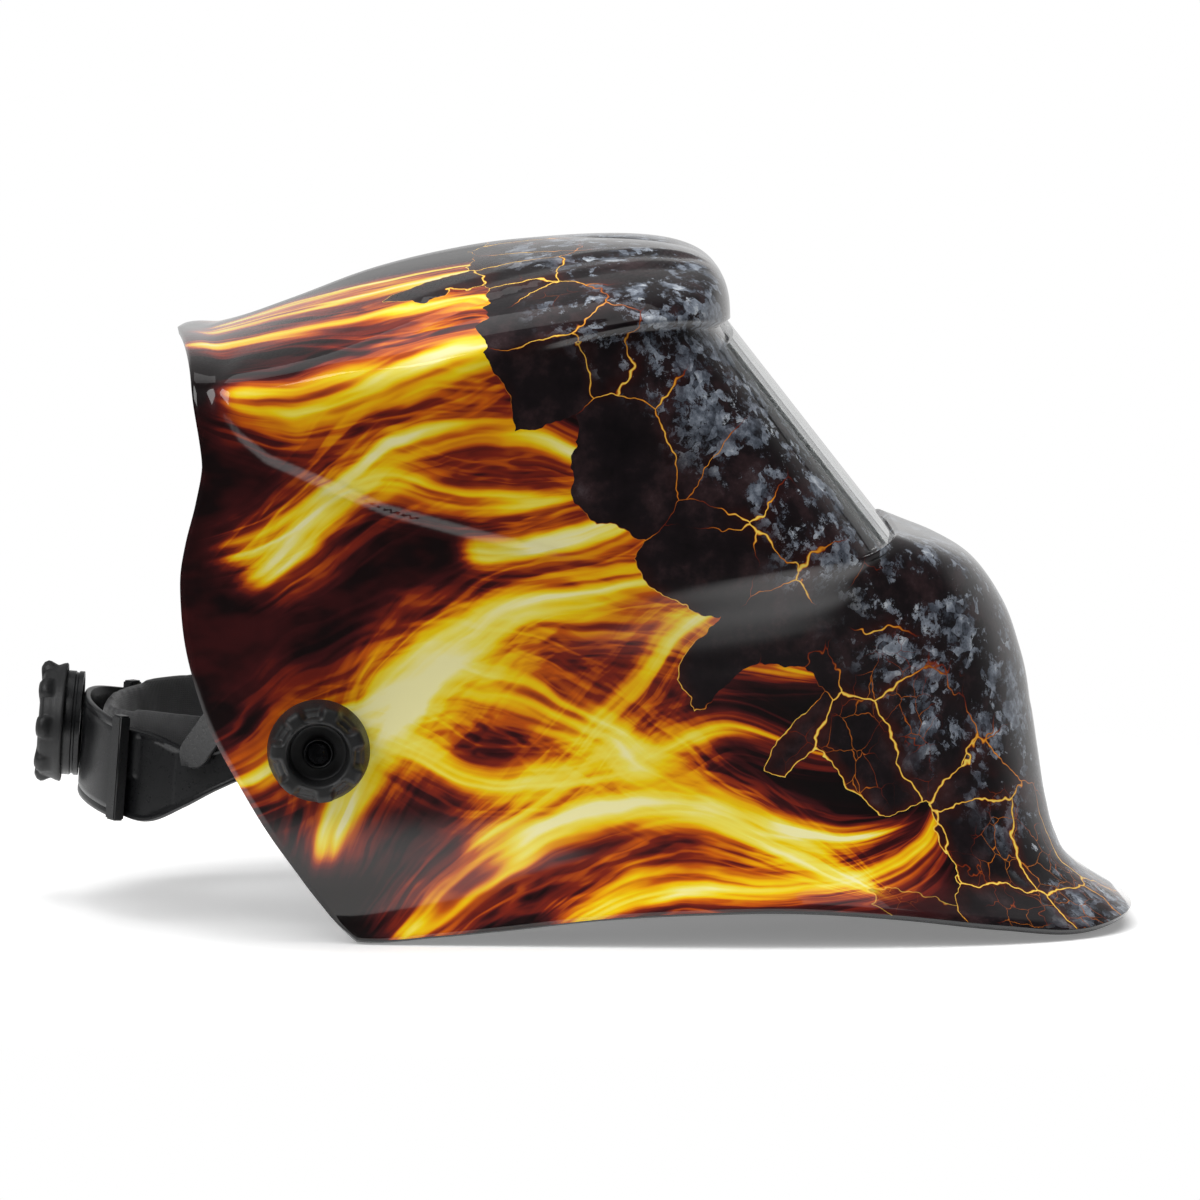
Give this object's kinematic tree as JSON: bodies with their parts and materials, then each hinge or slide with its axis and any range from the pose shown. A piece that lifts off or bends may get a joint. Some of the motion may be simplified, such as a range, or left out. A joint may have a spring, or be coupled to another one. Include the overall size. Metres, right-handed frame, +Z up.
{
  "type": "welding helmet",
  "caption": "Glossy flame-printed auto-darkening welding helmet: shell with sloped window, filter cartridge, and tilting ratchet headgear with side tension knobs.",
  "frame": {"origin": "centre of the bounding box's base, on the surface the shell's lower rim stands on", "axes": "+X out through the window, in the direction the wearer looks; +Y to the wearer's left, along the headgear's pivot axis; +Z up"},
  "size_m": [0.3934, 0.244, 0.2401],
  "materials": {
    "flame_paint": "glossy printed flame pattern under clear coat",
    "clear_lens": "clear polycarbonate",
    "filter_glass": "dark green filter",
    "solar_cell": "dark glossy cell",
    "soft_grip": "satin moulded",
    "steel": "zinc plated",
    "circuit_board": "green solder mask",
    "pad_fabric": "brushed fabric over foam",
    "black_nylon": "fine moulded texture"
  },
  "bodies": {
    "shell": {"shell": "flame_paint", "front_cover_lens": "clear_lens", "adf_holder_frame": "black_nylon", "adf_case": "black_nylon", "adf_filter_glass": "filter_glass", "adf_back_cover": "black_nylon", "inner_cover_lens": "clear_lens", "solar_panel": "solar_cell", "arc_sensor_left": "filter_glass", "arc_sensor_right": "filter_glass", "circuit_board": "circuit_board", "retainer_catch": "black_nylon", "friction_washer_left": "soft_grip", "friction_washer_right": "soft_grip", "spring_washer_left": "steel", "spring_washer_right": "steel", "inner_washer_left": "black_nylon", "inner_washer_right": "black_nylon", "outer_washer_left": "black_nylon", "outer_washer_right": "black_nylon"},
    "pivot_hardware": {"pivot_bolt_left": "steel", "pivot_bolt_right": "steel", "slide_block_left": "black_nylon", "slide_block_right": "black_nylon", "tilt_plate_left": "steel", "tilt_plate_right": "steel"},
    "headgear": {"headband": "black_nylon", "sweatband": "pad_fabric", "rear_saddle": "black_nylon", "rear_pad": "pad_fabric", "side_plate_left": "black_nylon", "side_plate_right": "black_nylon", "rivet_front_left": "steel", "rivet_front_right": "steel", "rivet_rear_left": "steel", "rivet_rear_right": "steel", "front_strap_left": "black_nylon", "front_strap_right": "black_nylon", "front_strap_pin": "black_nylon", "rear_strap_left": "black_nylon", "rear_strap_right": "black_nylon", "rear_strap_pin": "black_nylon", "ratchet_housing": "black_nylon"},
    "size_control": {"size_knob": "soft_grip", "ratchet_wheel": "steel"},
    "tension_control_left": {"tension_knob_left": "soft_grip"},
    "tension_control_right": {"tension_knob_right": "soft_grip"},
    "shade_control": {"shade_knob": "soft_grip"},
    "sensitivity_control": {"sensitivity_knob": "soft_grip"},
    "delay_control": {"delay_knob": "soft_grip"},
    "test_control": {"test_button": "soft_grip"},
    "battery_drawer": {"battery_tray": "black_nylon", "coin_cell": "steel"},
    "cartridge_retainer": {"retainer_loop": "steel"}
  },
  "joints": [
    {"name": "headgear_tilt", "type": "hinge", "parent": "shell", "child": "pivot_hardware", "pos_m": [-0.0935, 0, 0.06782], "axis": [0, 1, 0], "range_deg": [-15, 70]},
    {"name": "headgear_reach", "type": "slide", "parent": "pivot_hardware", "child": "headgear", "axis": [0.9983, 0, -0.0578], "range_m": [-0.01, 0.01]},
    {"name": "size_knob_turn", "type": "hinge", "parent": "headgear", "child": "size_control", "pos_m": [-0.18393, 0, 0.06304], "axis": [-0.9983, 0, 0.0578], "continuous": true},
    {"name": "tension_knob_left_turn", "type": "hinge", "parent": "pivot_hardware", "child": "tension_control_left", "pos_m": [-0.0935, 0.114, 0.06782], "axis": [0, 1, 0], "range_deg": [-180, 180]},
    {"name": "tension_knob_right_turn", "type": "hinge", "parent": "pivot_hardware", "child": "tension_control_right", "pos_m": [-0.0935, -0.114, 0.06782], "axis": [0, -1, 0], "range_deg": [-180, 180]},
    {"name": "shade_knob_turn", "type": "hinge", "parent": "shell", "child": "shade_control", "pos_m": [0.0772, -0.034, 0.12699], "axis": [-0.7762, 0, -0.6305], "range_deg": [-135, 135]},
    {"name": "sensitivity_knob_turn", "type": "hinge", "parent": "shell", "child": "sensitivity_control", "pos_m": [0.0772, -0.006, 0.12699], "axis": [-0.7762, 0, -0.6305], "range_deg": [-135, 135]},
    {"name": "delay_knob_turn", "type": "hinge", "parent": "shell", "child": "delay_control", "pos_m": [0.0772, 0.016, 0.12699], "axis": [-0.7762, 0, -0.6305], "range_deg": [-135, 135]},
    {"name": "test_button_press", "type": "slide", "parent": "shell", "child": "test_control", "axis": [0.7762, 0, 0.6305], "range_m": [0, 0.0012], "stiffness_N_per_m": 400, "springref_m": -0.001},
    {"name": "battery_tray_slide", "type": "slide", "parent": "shell", "child": "battery_drawer", "axis": [0, 1, 0], "range_m": [0, 0.013]},
    {"name": "retainer_loop_swing", "type": "hinge", "parent": "shell", "child": "cartridge_retainer", "pos_m": [0.019, 0, 0.19658], "axis": [0, 1, 0], "range_deg": [0, 30]}
  ]
}
